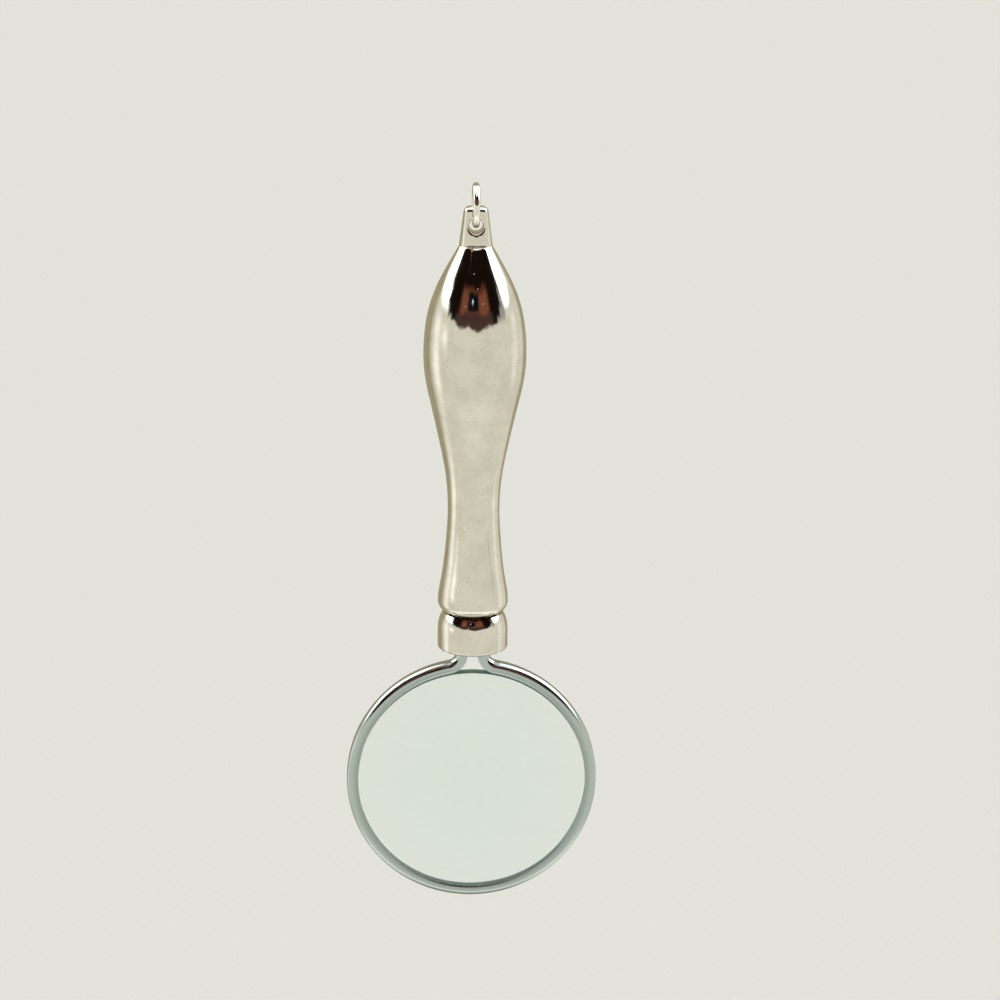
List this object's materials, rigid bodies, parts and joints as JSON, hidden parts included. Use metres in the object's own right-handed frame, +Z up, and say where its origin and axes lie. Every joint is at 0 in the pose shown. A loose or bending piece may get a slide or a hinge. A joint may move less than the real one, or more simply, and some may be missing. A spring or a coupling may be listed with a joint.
{
  "type": "magnifier pendant",
  "caption": "Slim pendant magnifier: polished spindle handle with a pierced lug on a jump ring, a collar at its foot and a round convex lens in a thin channel rim.",
  "frame": {"origin": "inside top of the jump ring, where the pendant hangs on its strand", "axes": "+Z up along the handle, +X to the right across the lens, -Y towards the front face"},
  "size_m": [0.0454, 0.0182, 0.1324],
  "materials": {
    "ring_plate": "polished silver-coloured plate over drawn brass wire",
    "handle_plate": "polished silver-coloured plate over a metal casting, with fine pits",
    "rim_plate": "bright nickel plate over rolled channel strip",
    "lens_glass": "polished clear glass, faintly green at its edge"
  },
  "bodies": {
    "jump_ring": {"jump_ring": "ring_plate"},
    "magnifier": {"handle": "handle_plate", "ferrule": "handle_plate", "rim": "rim_plate", "lens": "lens_glass"}
  },
  "joints": [
    {"name": "swing", "type": "hinge", "parent": "jump_ring", "child": "magnifier", "pos_m": [0, 0, -0.0062], "axis": [0, 1, 0], "range_deg": [-80, 80]}
  ]
}
